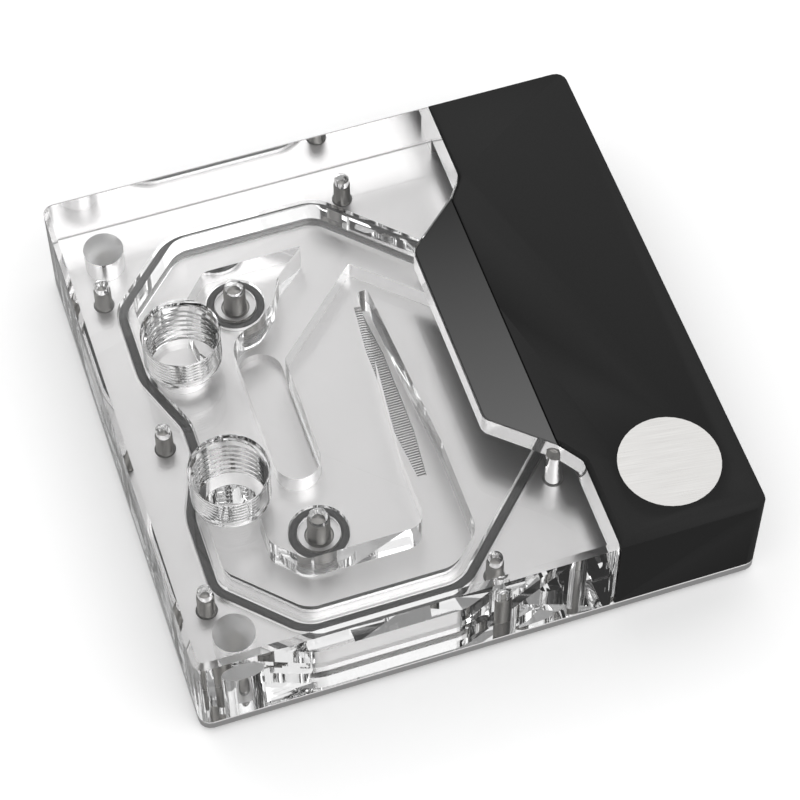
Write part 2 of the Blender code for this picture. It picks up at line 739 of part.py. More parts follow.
def make_cover(parts, cutters, finish):
    """Make the cover: a thick lid with a tongue, and a skirt down to the plate."""
    lid_floor = PLATE_TOP + COVER_FLOOR + SEAT_GAP
    cover = prism("cover", [rounded(cover_corners())], PLATE_TOP + SEAT_GAP, BLOCK_TOP,
                  parts, finish)
    bevel_level_edges(cover, COVER_CHAMFER, BLOCK_TOP)
    smooth(cover)
    inner_right = BLOCK_X / 2 - COVER_SKIRT
    inner_left = TONGUE_X - CUT_MARGIN
    inner_y = BLOCK_Y / 2 - COVER_SKIRT
    centre = ((inner_left + inner_right) / 2, 0.0)
    inside = prism("cover_inside",
                   [rounded(box_corners(inner_right - inner_left, 2 * inner_y, CORNER_R, centre))],
                   PLATE_TOP - CUT_MARGIN, lid_floor, cutters)
    cut(cover, mark_cutter(inside))
    recess_left = TONGUE_X - CUT_MARGIN
    recess_right = TONGUE_SEAM_X + TONGUE_CLEAR
    centre = ((recess_left + recess_right) / 2, 0.0)
    recess = prism("tongue_recess",
                   [box_points(recess_right - recess_left, 2 * STEP_TOP_Y, centre)],
                   BLOCK_TOP - TONGUE_T - SEAT_GAP, BLOCK_TOP + CUT_MARGIN, cutters)
    cut(cover, mark_cutter(recess))
    badge_seat = prism("badge_recess",
                       [circle_points(BADGE_D / 2 + BADGE_CLEAR, (BADGE_X, BADGE_Y), PORT_SIDES)],
                       BLOCK_TOP - BADGE_T, BLOCK_TOP + CUT_MARGIN, cutters)
    cut(cover, mark_cutter(badge_seat))
    for name, place, end in screw_places():
        if not name.startswith("cover"):
            continue
        bore = prism("cover_bore_" + name, [circle_points(SCREW_D / 2 + SCREW_CLEAR, place)],
                     PLATE_TOP - CUT_MARGIN, PLATE_TOP + end + SCREW_TIP, cutters)
        cut(cover, mark_cutter(bore))
    return cover


def make_cover_trim(parts, plate_finish, badge_finish):
    """Make the plate in the tongue and the bare disc."""
    plate = prism("tongue_plate", [rounded(tongue_corners())], BLOCK_TOP - TONGUE_T, BLOCK_TOP,
                  parts, plate_finish)
    bevel_level_edges(plate, COVER_CHAMFER / 4, BLOCK_TOP)
    badge = prism("badge_disc", [circle_points(BADGE_D / 2, (BADGE_X, BADGE_Y), PORT_SIDES)],
                  BLOCK_TOP - BADGE_T + SEAT_GAP, BLOCK_TOP - BADGE_SUNK, parts, badge_finish)
    smooth(badge)
    return plate, badge


def main():
    """Build the water block."""
    clear_scene()
    parts = new_collection("cpu_water_block")
    cutters = new_collection("cutters")
    nickel = material("Nickel_Plate", (0.60, 0.60, 0.60), 0.28, 1.0)
    acrylic = material("Clear_Acrylic", (1.0, 1.0, 1.0), 0.0, 0.0, transmission=1.0, ior=1.49)
    steel = material("Screw_Steel", (0.55, 0.54, 0.52), 0.25, 1.0)
    rubber = material("Seal_Rubber", (0.02, 0.02, 0.02), 0.6, 0.0)
    black = material("Black_Cover", (0.026, 0.026, 0.026), 0.45, 0.0)
    graphite = material("Tongue_Black", (0.04, 0.04, 0.04), 0.35, 0.6)
    brushed = material("Brushed_Disc", (0.70, 0.70, 0.70), 0.3, 1.0)
    make_base_plate(parts, cutters, nickel)
    make_screws(parts, cutters, steel)
    make_studs(parts, steel)
    make_seals(parts, rubber)
    make_jet_insert(parts, nickel)
    make_top_block(parts, cutters, acrylic)
    make_cover(parts, cutters, black)
    make_cover_trim(parts, graphite, brushed)


main()
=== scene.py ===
"""Looks of a clear-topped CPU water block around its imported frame.

The acrylic top is modelled with its real inner forms (ports, flow channels, seal
grooves, tapped holes), because everything in it is seen through the material.
All sizes are in metres, in the frame's own axes.
"""

import logging
from dataclasses import dataclass, replace
from enum import Enum
from math import acos, atan2, cos, pi, radians, sin, tan
from typing import Callable, Iterable, Sequence

import bmesh
import bpy
from mathutils import Matrix, Vector


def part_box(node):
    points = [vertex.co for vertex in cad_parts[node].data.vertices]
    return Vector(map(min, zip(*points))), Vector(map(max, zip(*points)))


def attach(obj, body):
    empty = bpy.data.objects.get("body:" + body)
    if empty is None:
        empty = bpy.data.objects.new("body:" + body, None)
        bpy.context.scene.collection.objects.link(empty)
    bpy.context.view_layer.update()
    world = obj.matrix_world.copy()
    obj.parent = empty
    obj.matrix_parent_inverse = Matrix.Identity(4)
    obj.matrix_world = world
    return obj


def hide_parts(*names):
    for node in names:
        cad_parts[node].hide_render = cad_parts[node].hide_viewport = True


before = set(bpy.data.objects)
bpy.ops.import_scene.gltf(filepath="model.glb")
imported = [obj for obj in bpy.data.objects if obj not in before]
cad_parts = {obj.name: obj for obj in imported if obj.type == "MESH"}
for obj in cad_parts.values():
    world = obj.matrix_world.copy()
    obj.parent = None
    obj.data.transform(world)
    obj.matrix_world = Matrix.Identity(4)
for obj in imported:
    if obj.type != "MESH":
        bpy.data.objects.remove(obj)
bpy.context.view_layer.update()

LOG = logging.getLogger("water_block")
ROOT = "root"

MM = 0.001
MERGE = 0.000001  # vertices closer than this are one
MARGIN = 0.001  # how far a cutting solid runs past what it cuts
BEYOND = 60 * MM  # a place well outside the block
LEAST_RADIUS = 0.1 * MM  # what is left of a round corner that is moved past its centre
NEARLY_STRAIGHT = 0.01  # half the turn, in radians, below which a corner gets no arc
SMOOTH_ANGLE = radians(28)  # edges that turn by more stay sharp
CORD_SIDES = 20  # segments round a seal's cord
DRILL_SIDES = 32  # segments round a drilled hole

# A Mix node's colour sockets share their names with others, so they go by number.
MIX_LOW, MIX_HIGH, MIX_RESULT = 6, 7, 2

Corner = tuple[float, float, float]
Place = tuple[float, float]
Point = tuple[float, float, float]
Span = tuple[float, float]


class Slot(Enum):
    """Material slots of the record; nothing in this script uses them."""

    ACRYLIC = "clear_acrylic"
    SCREW = "screw_steel"
    INSERT = "insert_steel"
    SEAL = "seal_rubber"
    COVER = "black_cover"


class Side(Enum):
    """The two sides of the block's middle line, with the sign of their Y."""

    FAR = 1
    NEAR = -1

    def of(self, stem: str) -> str:
        """Return the name of this side's node or piece."""
        return f"{stem}_{self.name.lower()}"

    def twin(self, far: Place) -> Place:
        """Return the place on this side that answers to one on the far side."""
        return (far[0], self.value * far[1])


def linear(hex_colour: str) -> tuple[float, float, float, float]:
    """Turn an sRGB hex colour into linear RGBA.

    Args:
        hex_colour: six hex digits, such as "C8C8C8".

    Returns:
        The linear colour with an alpha of 1.
    """
    channels = [int(hex_colour[index:index + 2], 16) / 255 for index in (0, 2, 4)]
    curve = [value / 12.92 if value <= 0.04045 else ((value + 0.055) / 1.055) ** 2.4
             for value in channels]
    return (curve[0], curve[1], curve[2], 1.0)


def in_mm(*corners: Corner) -> tuple[Corner, ...]:
    """Return corners that are written in millimetres, in metres."""
    return tuple((x * MM, y * MM, radius * MM) for x, y, radius in corners)


@dataclass(frozen=True)
class Outline:
    """A closed flat outline of (x, y, radius) corners, counter-clockwise."""

    corners: tuple[Corner, ...]
    steps: int = 8

    @classmethod
    def box(cls, width: float, depth: float, radius: float = 0.0,
            centre: Place = (0.0, 0.0)) -> "Outline":
        """Return a rectangle.

        Args:
            width: size along X.
            depth: size along Y.
            radius: radius of the corners.
            centre: middle of the rectangle.

        Returns:
            The outline.
        """
        signs = ((1, -1), (1, 1), (-1, 1), (-1, -1))
        return cls(tuple((centre[0] + sx * width / 2, centre[1] + sy * depth / 2, radius)
                         for sx, sy in signs))

    @classmethod
    def mirrored(cls, far: Sequence[Corner], steps: int = 8) -> "Outline":
        """Return an outline from its far half, listed from right to left.

        Args:
            far: corners with a positive Y.
            steps: segments of each round corner.

        Returns:
            The outline with its near half added.
        """
        near = [(x, -y, radius) for x, y, radius in reversed(far)]
        return cls(tuple(far) + tuple(near), steps)

    def offset(self, distance: float) -> "Outline":
        """Move the outline outwards.

        Args:
            distance: how far, negative to move inwards.

        Returns:
            The moved outline, with its radii changed to match.
        """
        moved: list[Corner] = []
        count = len(self.corners)
        for index, (x, y, radius) in enumerate(self.corners):
            here = Vector((x, y))
            before = (here - Vector(self.corners[index - 1][:2])).normalized()
            after = (Vector(self.corners[(index + 1) % count][:2]) - here).normalized()
            normal_a = Vector((before.y, -before.x))
            normal_b = Vector((after.y, -after.x))
            place = here + (normal_a + normal_b) / (1.0 + normal_a.dot(normal_b)) * distance
            change = distance if before.cross(after) > 0 else -distance
            grown = max(radius + change, LEAST_RADIUS) if radius > 0 else 0.0
            moved.append((place.x, place.y, grown))
        return Outline(tuple(moved), self.steps)

    def reach(self, index: int) -> float:
        """Return how far a corner's arc reaches along its two edges.

        Args:
            index: the corner's number.

        Returns:
            The distance in metres, zero for a sharp corner.
        """
        x, y, radius = self.corners[index]
        here = Vector((x, y))
        following = self.corners[(index + 1) % len(self.corners)]
        back = (Vector(self.corners[index - 1][:2]) - here).normalized()
        ahead = (Vector(following[:2]) - here).normalized()
        half = acos(max(-1.0, min(1.0, back.dot(ahead)))) / 2
        if radius <= 0.0 or half > pi / 2 - NEARLY_STRAIGHT:
            return 0.0
        return radius / tan(half)

    def face(self, height: float) -> bmesh.types.BMesh:
        """Return one flat face with the outline's round corners.

        Args:
            height: the face's height.

        Returns:
            A bmesh of the face.
        """
        form = bmesh.new()
        verts = [form.verts.new((x, y, height)) for x, y, _ in self.corners]
        form.faces.new(verts)
        for index, vert in enumerate(verts):
            reach = self.reach(index)
            if reach > 0.0:
                bmesh.ops.bevel(form, geom=[vert], offset=reach, offset_type='OFFSET',
                                segments=self.steps, profile=0.5, affect='VERTICES',
                                material=-1)
        return form

    def prism(self, bottom: float, top: float, chamfer: float = 0.0) -> bpy.types.Mesh:
        """Return the outline raised between two heights.

        Args:
            bottom: lower height.
            top: upper height.
            chamfer: width of a chamfer round the top.

        Returns:
            The mesh.
        """
        form = self.face(bottom)
        raised = bmesh.ops.extrude_face_region(form, geom=form.faces[:], use_keep_orig=True)
        lifted = [item for item in raised["geom"] if isinstance(item, bmesh.types.BMVert)]
        bmesh.ops.translate(form, vec=(0.0, 0.0, top - bottom), verts=lifted)
        bmesh.ops.remove_doubles(form, verts=form.verts, dist=MERGE)
        bmesh.ops.recalc_face_normals(form, faces=form.faces)
        if chamfer > 0.0:
            edges = [edge for edge in form.edges
                     if all(abs(vert.co.z - top) < MERGE for vert in edge.verts)
                     and edge.calc_face_angle(0.0) > SMOOTH_ANGLE]
            bmesh.ops.bevel(form, geom=edges, offset=chamfer, offset_type='OFFSET',
                            segments=1, profile=0.5, affect='EDGES', material=-1)
        return as_mesh(form)

    def tube(self, radius: float, height: float) -> bpy.types.Mesh:
        """Return a round cord along the outline.

        Args:
            radius: radius of the cord.
            height: height of its middle.

        Returns:
            The mesh.
        """
        flat = self.face(0.0)
        path = [loop.vert.co.copy() for face in flat.faces for loop in face.loops]
        flat.free()
        form = bmesh.new()
        loops: list[list[bmesh.types.BMEdge]] = []
        upright = Matrix.Rotation(pi / 2, 4, 'Y')
        for index, point in enumerate(path):
            before = (point - path[index - 1]).normalized()
            after = (path[(index + 1) % len(path)] - point).normalized()
            along = (before + after).normalized()
            turn = Matrix.Rotation(atan2(along.y, along.x), 4, 'Z') @ upright
            place = Matrix.Translation((point.x, point.y, height)) @ turn
            made = bmesh.ops.create_circle(form, segments=CORD_SIDES, radius=radius,
                                           matrix=place)
            loops.append(list({edge for vert in made["verts"] for edge in vert.link_edges}))
        for first, second in zip(loops, loops[1:] + loops[:1]):
            bmesh.ops.bridge_loops(form, edges=first + second)
        bmesh.ops.recalc_face_normals(form, faces=form.faces)
        return as_mesh(form)


def as_mesh(form: bmesh.types.BMesh, name: str = "work") -> bpy.types.Mesh:
    """Turn a bmesh into a mesh.

    Args:
        form: the bmesh, which is freed.
        name: name of the mesh.

    Returns:
        The new mesh.
    """
    mesh = bpy.data.meshes.new(name)
    form.to_mesh(mesh)
    form.free()
    return mesh


def turned(profile: Sequence[Place], centre: Place, sides: int,
           inset: Callable[[float, float], float] | None = None) -> bpy.types.Mesh:
    """Return a turned solid.

    Args:
        profile: (radius, height) points from the axis at the top to the axis at the
            bottom, or a closed section away from the axis.
        centre: place of the axis.
        sides: segments round the axis.
        inset: how far a vertex is drawn in, from its height and its angle in turns.

    Returns:
        The mesh.
    """
    form = bmesh.new()
    verts = [form.verts.new((radius, 0.0, height)) for radius, height in profile]
    edges = [form.edges.new(pair) for pair in zip(verts, verts[1:])]
    bmesh.ops.spin(form, geom=verts + edges, cent=(0, 0, 0), axis=(0, 0, 1),
                   angle=2 * pi, steps=sides, use_merge=True)
    bmesh.ops.remove_doubles(form, verts=form.verts, dist=MERGE)
    for vert in form.verts:
        away = vert.co.xy.length
        if inset and away > MERGE:
            angle = atan2(vert.co.y, vert.co.x) / (2 * pi)
            scale = (away - inset(vert.co.z, angle)) / away
            vert.co.x *= scale
            vert.co.y *= scale
    bmesh.ops.recalc_face_normals(form, faces=form.faces)
    bmesh.ops.translate(form, vec=(*centre, 0.0), verts=form.verts)
    return as_mesh(form)


@dataclass(frozen=True)
class Thread:
    """A screw's thread, with the chamfered end of its shank."""

    diameter: float
    pitch: float
    depth: float = 0.61  # of the pitch
    chamfer: float = 0.45 * MM
    rows: int = 4  # of vertices in each turn
    sides: int = 32

    def shrunk(self, gap: float) -> "Thread":
        """Return the thread with its radius smaller by a gap."""
        return replace(self, diameter=self.diameter - 2 * gap)

    def shank(self, place: Place, bottom: float, end: float) -> bpy.types.Mesh:
        """Return a threaded shank.

        Args:
            place: its axis.
            bottom: height of its foot.
            end: height of its end face.

        Returns:
            The mesh.
        """
        radius = self.diameter / 2
        top = end - self.chamfer
        rows = max(self.rows, int((top - bottom) / self.pitch * self.rows))
        profile = [(0.0, end), (radius - self.chamfer, end), (radius, top)]
        profile += [(radius, top - (top - bottom) * row / rows) for row in range(1, rows)]
        profile += [(radius, bottom), (0.0, bottom)]

        def groove(height: float, angle: float) -> float:
            """Return the groove's depth, zero past the shank's ends."""
            if not bottom + MERGE < height < top + MERGE:
                return 0.0
            share = ((height - bottom) / self.pitch - angle) % 1.0
            return self.depth * self.pitch * abs(2.0 * share - 1.0)
        return turned(profile, place, self.sides, groove)


@dataclass(frozen=True)
class Port:
    """A port's room in the acrylic: chamfered rim, pipe thread and plain bore below."""

    pitch: float = 1.337 * MM
    major: float = 13.157 * MM
    minor: float = 11.445 * MM
    turns: int = 8
    rim: float = 13.35 * MM
    rim_depth: float = 0.7 * MM
    bore: float = 9.7 * MM
    bore_cone: float = 1.0 * MM
    steepness: float = 1.25  # above 1, the thread's crests and roots are flat
    root: float = 0.12  # flat part of the root
    rows: int = 8  # of vertices in each turn
    sides: int = 72

    def cutter(self, place: Place, top: float, floor: float) -> bpy.types.Mesh:
        """Return the solid that is cut from the block.

        Args:
            place: the port's axis.
            top: height of the block's top.
            floor: height where the cut ends, inside the flow channel.

        Returns:
            The mesh.
        """
        major, rim, bore = self.major / 2, self.rim / 2, self.bore / 2
        start = top - self.rim_depth
        end = start - self.turns * self.pitch
        rows = self.turns * self.rows
        profile = [(0.0, top + MARGIN), (rim, top + MARGIN), (rim, top), (major, start)]
        profile += [(major, start + (end - start) * row / rows) for row in range(1, rows)]
        profile += [(major, end), (bore, end - self.bore_cone), (bore, floor), (0.0, floor)]

        def ridge(height: float, angle: float) -> float:
            """Return the thread's depth, which fades out over a turn at each end."""
            if not end + MERGE < height < start - MERGE:
                return 0.0
            share = ((start - height) / self.pitch + angle) % 1.0
            fade = min(1.0, (start - height) / self.pitch, (height - end) / self.pitch)
            rise = self.steepness * (1.0 - abs(2.0 * share - 1.0)) - self.root
            return (major - self.minor / 2) * fade * min(1.0, max(0.0, rise))
        return turned(profile, place, self.sides, ridge)


def add_object(name: str, mesh: bpy.types.Mesh) -> bpy.types.Object:
    """Put a mesh in the scene as an object at the origin.

    Args:
        name: name of the object.
        mesh: its mesh.

    Returns:
        The object.
    """
    item = bpy.data.objects.new(name, mesh)
    bpy.context.scene.collection.objects.link(item)
    return item


def cut(solid: bpy.types.Mesh, tools: Iterable[bpy.types.Mesh]) -> bpy.types.Mesh:
    """Cut solids from a mesh.

    Args:
        solid: the mesh that is worked on.
        tools: the solids.

    Returns:
        The new mesh.
    """
    body = add_object("work_body", solid)
    helpers = []
    for tool in tools:
        helper = add_object("work_tool", tool)
        step = body.modifiers.new("Step", 'BOOLEAN')
        step.operation = 'DIFFERENCE'
        step.solver = 'EXACT'
        step.object = helper
        helpers.append(helper)
    bpy.context.view_layer.update()
    graph = bpy.context.evaluated_depsgraph_get()
    result = bpy.data.meshes.new_from_object(body.evaluated_get(graph))
    for helper in helpers + [body]:
        bpy.data.objects.remove(helper, do_unlink=True)
    return result


class Nodes:
    """The node tree of a material or of the world, built up node by node."""

    def __init__(self, owner: bpy.types.Material | bpy.types.World,
                 shader: str = "Principled BSDF") -> None:
        """Start from the owner's first shader.

        Args:
            owner: the material or the world.
            shader: name of the shader's node.
        """
        owner.use_nodes = True
        self.owner = owner
        self.tree = owner.node_tree
        self.shader = self.tree.nodes[shader]

    @classmethod
    def material(cls, name: str) -> "Nodes":
        """Return the tree of a new material of this name."""
        return cls(bpy.data.materials.new(name))

    def add(self, kind: str, settings: dict[str | int, object] | None = None,
            links: dict[str | int, bpy.types.NodeSocket] | None = None) -> bpy.types.Node:
        """Add a node with its settings and links.

        Args:
            kind: the node's type name.
            settings: values of its attributes, or of input sockets by name or number.
            links: sockets that feed its inputs.

        Returns:
            The node.
        """
        node = self.tree.nodes.new(kind)
        for key, value in (settings or {}).items():
            if isinstance(key, str) and hasattr(node, key):
                setattr(node, key, value)
            else:
                node.inputs[key].default_value = value
        for key, socket in (links or {}).items():
            self.tree.links.new(socket, node.inputs[key])
        return node

    def link(self, socket: bpy.types.NodeSocket, target: str) -> None:
        """Feed the shader's input of the target's name from a socket."""
        self.tree.links.new(socket, self.shader.inputs[target])

    def set(self, **values: object) -> None:
        """Set the shader's own inputs, named with underscores for spaces."""
        for key, value in values.items():
            self.shader.inputs[key.replace("_", " ")].default_value = value


@dataclass(frozen=True)
class CastAcrylic:
    """Clear cast acrylic, polished: a bright, colourless body with sharp edges of light."""

    name: str = "Clear_Cast_Acrylic"
    tint: str = "FEFEFE"
    ior: float = 1.49

    def build(self) -> bpy.types.Material:
        """Return the material."""
        nodes = Nodes.material(self.name)
        nodes.set(Base_Color=linear(self.tint), Roughness=0.0, IOR=self.ior,
                  Transmission_Weight=1.0)
        return nodes.owner


@dataclass(frozen=True)
class Mottled:
    """A finish of one colour, whose gloss varies from place to place."""

    name: str
    colour: str
    roughness: Span
    marks: float
    inputs: tuple[tuple[str, float], ...] = ()

    def build(self) -> bpy.types.Material:
        """Return the material."""
        nodes = Nodes.material(self.name)
        nodes.set(Base_Color=linear(self.colour), **dict(self.inputs))
        place = nodes.add("ShaderNodeTexCoord")
        marks = nodes.add("ShaderNodeTexNoise", {"Scale": 1 / self.marks, "Detail": 2.0},
                          {"Vector": place.outputs["Object"]})
        low, high = self.roughness
        rough = nodes.add("ShaderNodeMapRange", {"To Min": low, "To Max": high},
                          {"Value": marks.outputs["Fac"]})
        nodes.link(rough.outputs["Result"], "Roughness")
        return nodes.owner


@dataclass(frozen=True)
class MilledAcrylic(Mottled):
    """The same acrylic as an end mill leaves it: frosted, for the roofs of blind pockets.

    Tool marks lie about 0.1 mm apart. They are drawn coarser, so that they show.
    """

    name: str = "Milled_Frosted_Acrylic"
    colour: str = "FFFFFF"
    roughness: Span = (0.69, 0.81)
    marks: float = 0.5 * MM
    inputs: tuple[tuple[str, float], ...] = (("IOR", 1.49), ("Transmission_Weight", 1.0))


@dataclass(frozen=True)
class ScrewSteel(Mottled):
    """Stainless steel, rolled and pickled: a dull mid grey with faint turning marks.

    The marks are finer than 0.1 mm. They are drawn coarser, so that they show.
    """

    name: str = "Rolled_Stainless_Steel"
    colour: str = "9A9895"
    roughness: Span = (0.31, 0.44)
    marks: float = 0.4 * MM
    inputs: tuple[tuple[str, float], ...] = (("Metallic", 1.0),)


@dataclass(frozen=True)
class SealRubber(Mottled):
    """Moulded nitrile rubber: matt black with a soft, slightly uneven highlight."""

    name: str = "Nitrile_Rubber"
    colour: str = "1C1C1C"
    roughness: Span = (0.42, 0.6)
    marks: float = 0.3 * MM


@dataclass(frozen=True)
class SatinNickel:
    """Nickel plating over blasted copper: an even satin grey with a very fine grain.

    Blasting leaves pits of about 0.05 mm. They are drawn coarser, so that they show.
    """

    name: str = "Satin_Nickel_Plate"
    colour: str = "E3E2E2"
    dark: str = "DBDADA"
    roughness: float = 0.38
    cloud: float = 14 * MM
    grain: float = 0.18 * MM
    relief: float = 0.02 * MM

    def build(self) -> bpy.types.Material:
        """Return the material."""
        nodes = Nodes.material(self.name)
        nodes.set(Metallic=1.0, Roughness=self.roughness)
        place = nodes.add("ShaderNodeTexCoord")
        cloud = nodes.add("ShaderNodeTexNoise", {"Scale": 1 / self.cloud, "Detail": 3.0},
                          {"Vector": place.outputs["Object"]})
        tone = nodes.add("ShaderNodeMix", {"data_type": 'RGBA', MIX_LOW: linear(self.dark),
                                           MIX_HIGH: linear(self.colour)},
                         {"Factor": cloud.outputs["Fac"]})
        nodes.link(tone.outputs[MIX_RESULT], "Base Color")
        grit = nodes.add("ShaderNodeTexNoise", {"Scale": 1 / self.grain, "Detail": 2.0},
                         {"Vector": place.outputs["Object"]})
        bump = nodes.add("ShaderNodeBump", {"Strength": 0.05, "Distance": self.relief},
                         {"Height": grit.outputs["Fac"]})
        nodes.link(bump.outputs["Normal"], "Normal")
        return nodes.owner


@dataclass(frozen=True)
class BlastedBlack:
    """Black anodised aluminium, bead blasted: an even, very dark grain.

    Fine beads leave pits of about 0.1 mm. They are drawn coarser, so that they show.
    """

    name: str = "Blasted_Black_Anodised_Aluminium"
    colour: str = "272727"
    dark: str = "212121"
    roughness: float = 0.52
    specular: float = 0.12
    grain: float = 0.25 * MM
    relief: float = 0.03 * MM

    def build(self) -> bpy.types.Material:
        """Return the material."""
        nodes = Nodes.material(self.name)
        nodes.set(Roughness=self.roughness, Specular_IOR_Level=self.specular)
        place = nodes.add("ShaderNodeTexCoord")
        grit = nodes.add("ShaderNodeTexNoise", {"Scale": 1 / self.grain, "Detail": 3.0},
                         {"Vector": place.outputs["Object"]})
        tone = nodes.add("ShaderNodeMix", {"data_type": 'RGBA', MIX_LOW: linear(self.dark),
                                           MIX_HIGH: linear(self.colour)},
                         {"Factor": grit.outputs["Fac"]})
        nodes.link(tone.outputs[MIX_RESULT], "Base Color")
        bump = nodes.add("ShaderNodeBump", {"Strength": 0.25, "Distance": self.relief},
                         {"Height": grit.outputs["Fac"]})
        nodes.link(bump.outputs["Normal"], "Normal")
        return nodes.owner


@dataclass(frozen=True)
class FadeDyedBlack:
    """Anodised aluminium, finely brushed; a painted reflection runs from near black to mid
    grey.

    Brushing lines are about 0.05 mm wide. They are drawn coarser, so that they show.
    """

    name: str = "Fade_Dyed_Anodised_Aluminium"
    near: str = "686868"
    far: str = "353535"
    half_length: float = 26.3 * MM
    roughness: Span = (0.29, 0.39)
    line_width: float = 0.15 * MM
    line_length: float = 6 * MM

    def build(self) -> bpy.types.Material:
        """Return the material."""
        nodes = Nodes.material(self.name)
        nodes.set(Metallic=1.0)
        place = nodes.add("ShaderNodeTexCoord")
        parts = nodes.add("ShaderNodeSeparateXYZ", None, {"Vector": place.outputs["Object"]})
        fade = nodes.add("ShaderNodeMapRange", {"From Min": -self.half_length,
                                                "From Max": self.half_length},
                         {"Value": parts.outputs["Y"]})
        # Painted reflection: lighter at the near end and darker at the far end, standing in for
        # a lamp's reflection.
        dye = nodes.add("ShaderNodeMix", {"data_type": 'RGBA', MIX_LOW: linear(self.near),
                                          MIX_HIGH: linear(self.far)},
                        {"Factor": fade.outputs["Result"]})
        nodes.link(dye.outputs[MIX_RESULT], "Base Color")
        lines = nodes.add("ShaderNodeMapping",
                          {"Scale": (1 / self.line_width, 1 / self.line_length, 1.0)},
                          {"Vector": place.outputs["Object"]})
        brush = nodes.add("ShaderNodeTexNoise", {"Scale": 1.0, "Detail": 2.0},
                          {"Vector": lines.outputs["Vector"]})
        low, high = self.roughness
        rough = nodes.add("ShaderNodeMapRange", {"To Min": low, "To Max": high},
                          {"Value": brush.outputs["Fac"]})
        nodes.link(rough.outputs["Result"], "Roughness")
        return nodes.owner


@dataclass(frozen=True)
class BrushedAluminium:
    """Brushed aluminium disc: bright, with fine parallel streaks.

    Real streaks are about 0.05 mm wide. They are drawn coarser, so that they show.
    """

    name: str = "Brushed_Aluminium"
    colour: str = "F4F3F1"
    dark: str = "D2D0CE"
    roughness: Span = (0.2, 0.42)
    line_width: float = 0.16 * MM
    line_length: float = 9 * MM
    relief: float = 0.02 * MM
    angle: float = radians(8)

    def build(self) -> bpy.types.Material:
        """Return the material."""
        nodes = Nodes.material(self.name)
        nodes.set(Metallic=1.0)
        place = nodes.add("ShaderNodeTexCoord")
        turn = nodes.add("ShaderNodeMapping", {"Rotation": (0.0, 0.0, self.angle)},
                         {"Vector": place.outputs["Object"]})
        lines = nodes.add("ShaderNodeMapping",
                          {"Scale": (1 / self.line_length, 1 / self.line_width, 1.0)},
                          {"Vector": turn.outputs["Vector"]})
        brush = nodes.add("ShaderNodeTexNoise", {"Scale": 1.0, "Detail": 4.0},
                          {"Vector": lines.outputs["Vector"]})
        tone = nodes.add("ShaderNodeMix", {"data_type": 'RGBA', MIX_LOW: linear(self.dark),
                                           MIX_HIGH: linear(self.colour)},
                         {"Factor": brush.outputs["Fac"]})
        nodes.link(tone.outputs[MIX_RESULT], "Base Color")
        low, high = self.roughness
        rough = nodes.add("ShaderNodeMapRange", {"To Min": low, "To Max": high},
                          {"Value": brush.outputs["Fac"]})
        nodes.link(rough.outputs["Result"], "Roughness")
        bump = nodes.add("ShaderNodeBump", {"Strength": 0.2, "Distance": self.relief},
                         {"Height": brush.outputs["Fac"]})
        nodes.link(bump.outputs["Normal"], "Normal")
        return nodes.owner


def cad_mesh(node: str) -> bpy.types.Mesh:
    """Return a copy of a CAD node's mesh, in the frame's axes.

    Args:
        node: name of the node.

    Returns:
        The copy.
    """
    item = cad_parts[node]
    mesh = item.data.copy()
    mesh.transform(item.matrix_world)
    return mesh


def finish_piece(name: str, mesh: bpy.types.Mesh, finish: bpy.types.Material,
                 node: str, smooth: bool = True) -> bpy.types.Object:
    """Dress a finished mesh and tie it to the frame.

    Args:
        name: name of the piece.
        mesh: its mesh.
        finish: its material.
        node: the CAD node that it stands for.
        smooth: whether its round faces are shaded smooth.

    Returns:
        The piece.
    """
    mesh.name = name
    mesh.materials.clear()
    mesh.materials.append(finish)
    if smooth:
        mesh.shade_smooth()
        mesh.set_sharp_from_angle(angle=SMOOTH_ANGLE)
    piece = add_object(name, mesh)
    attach(piece, ROOT)
    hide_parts(node)
    LOG.info("%s: %d faces", name, len(mesh.polygons))
    return piece


@dataclass(frozen=True)
class Layout:
    """Places, heights and threads that several sub-assemblies share."""

    plate_top: float = 3.18 * MM
    top: float = 21.59 * MM
    seat: float = 0.05 * MM  # gap below what stands on the plate
    seal_cord: float = 1.5 * MM
    cover_x: float = 22.35 * MM
    tongue_floor: float = 15.08 * MM
    pillar: Place = (-20.35 * MM, 23.7 * MM)
    port: Place = (-32.15 * MM, 14.05 * MM)
    stud_half: float = 39.1 * MM
    screw_thread: Thread = Thread(3.0 * MM, 0.5 * MM)
    stud_thread: Thread = Thread(3.9 * MM, 0.7 * MM)

    def seal_line(self) -> Outline:
        """Return the middle line of the main seal."""
        far = in_mm((27.5, 11.45, 4), (-1.1, 40.05, 6), (-27.55, 40.05, 6),
                    (-39.25, 28.35, 4), (-39.25, 14, 8), (-34.95, 2.6, 5))
        return Outline.mirrored(far, steps=12)

    def screw_places(self) -> dict[str, Place]:
        """Return the place of each edge screw that enters from below."""
        return {node: (x * MM, y * MM) for node, x, y in (
            ("top_screw_left_far", -41.5, 31.2), ("top_screw_left_near", -41.5, -31.2),
            ("top_screw_waist", -39.5, 0.0), ("top_screw_mid_far", 4.0, 39.9),
            ("top_screw_mid_near", 4.0, -39.9), ("cover_screw_step_far", 19.3, 25.5),
            ("cover_screw_step_near", 19.3, -25.5))}


